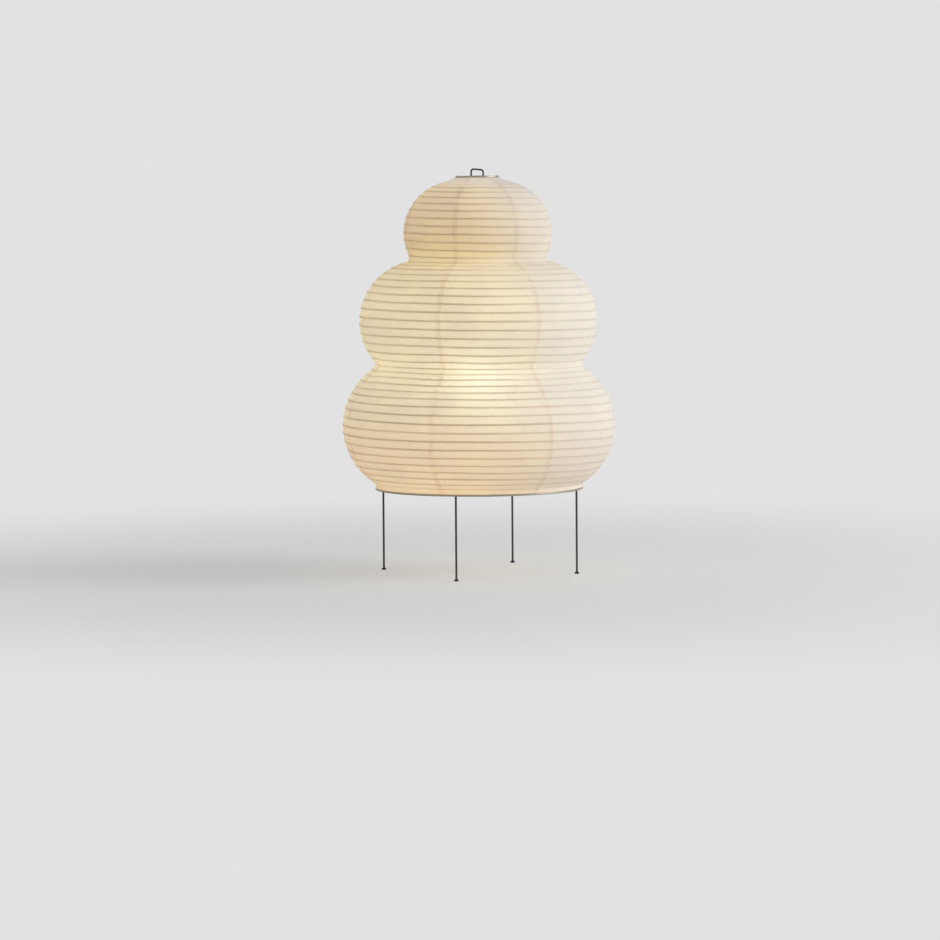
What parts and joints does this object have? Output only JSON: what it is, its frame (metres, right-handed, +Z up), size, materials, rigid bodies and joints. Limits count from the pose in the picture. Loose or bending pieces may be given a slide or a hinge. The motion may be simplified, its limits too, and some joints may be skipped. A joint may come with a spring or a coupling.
{
  "type": "andon floor lamp",
  "caption": "Standing paper lantern lamp: three stacked round lobes of ribbed paper held open by a wire carrier on a four-legged bent-wire stand, with a bulb inside.",
  "frame": {"origin": "on the floor, on the lantern's axis", "axes": "+Z up along the lantern's axis; leg_1 and leg_3 and the carrier in the XZ plane, leg_2 and leg_4 within four degrees of the YZ plane"},
  "size_m": [0.3969, 0.3968, 0.5879],
  "materials": {
    "dark_wire": "satin",
    "tip_rubber": "matte",
    "ring_wire": "satin",
    "zinc_steel": "satin",
    "bush_plastic": "matte",
    "holder_plastic": "gloss",
    "insert_ceramic": "satin",
    "contact_brass": "satin",
    "frosted_glass": "matte",
    "cap_metal": "satin",
    "black_glass": "gloss",
    "washi_paper": "matte",
    "bamboo": "matte"
  },
  "bodies": {
    "stand": {"leg_1": "dark_wire", "leg_2": "dark_wire", "leg_3": "dark_wire", "leg_4": "dark_wire", "foot_tip_1": "tip_rubber", "foot_tip_2": "tip_rubber", "foot_tip_3": "tip_rubber", "foot_tip_4": "tip_rubber", "carrier_socket_1": "dark_wire", "carrier_socket_2": "dark_wire", "hub": "dark_wire", "stem_tube": "zinc_steel", "stem_nut_lower": "zinc_steel", "stem_nut_upper": "zinc_steel", "cord_bush": "bush_plastic", "carrier_side_1": "dark_wire", "carrier_side_2": "dark_wire", "lifting_loop": "dark_wire", "holder_cap": "holder_plastic", "holder_insert": "insert_ceramic", "centre_contact": "contact_brass", "screw_shell": "contact_brass", "holder_skirt": "holder_plastic"},
    "shade": {"paper_gore_1": "washi_paper", "paper_gore_2": "washi_paper", "paper_gore_3": "washi_paper", "paper_gore_4": "washi_paper", "paper_gore_5": "washi_paper", "paper_gore_6": "washi_paper", "paper_gore_7": "washi_paper", "rib_spiral": "bamboo", "top_ring": "ring_wire", "bridge_bar_1": "ring_wire", "bridge_bar_2": "ring_wire"},
    "bottom_ring": {"bottom_ring": "ring_wire"},
    "bulb": {"bulb_glass": "frosted_glass", "bulb_cap": "cap_metal", "bulb_insulator": "black_glass", "bulb_tip": "cap_metal"}
  },
  "joints": [
    {"name": "shade_lift", "type": "slide", "parent": "stand", "child": "shade", "axis": [0, 0, 1], "range_m": [0, 0.48]},
    {"name": "shade_collapse", "type": "slide", "parent": "shade", "child": "bottom_ring", "axis": [0, 0, 1], "range_m": [0, 0.377], "deforming": ["paper_gore_1", "paper_gore_2", "paper_gore_3", "paper_gore_4", "paper_gore_5", "paper_gore_6", "paper_gore_7", "rib_spiral"]},
    {"name": "bulb_out", "type": "slide", "parent": "stand", "child": "bulb", "axis": [0, 0, 1], "range_m": [0, 0.03]}
  ]
}
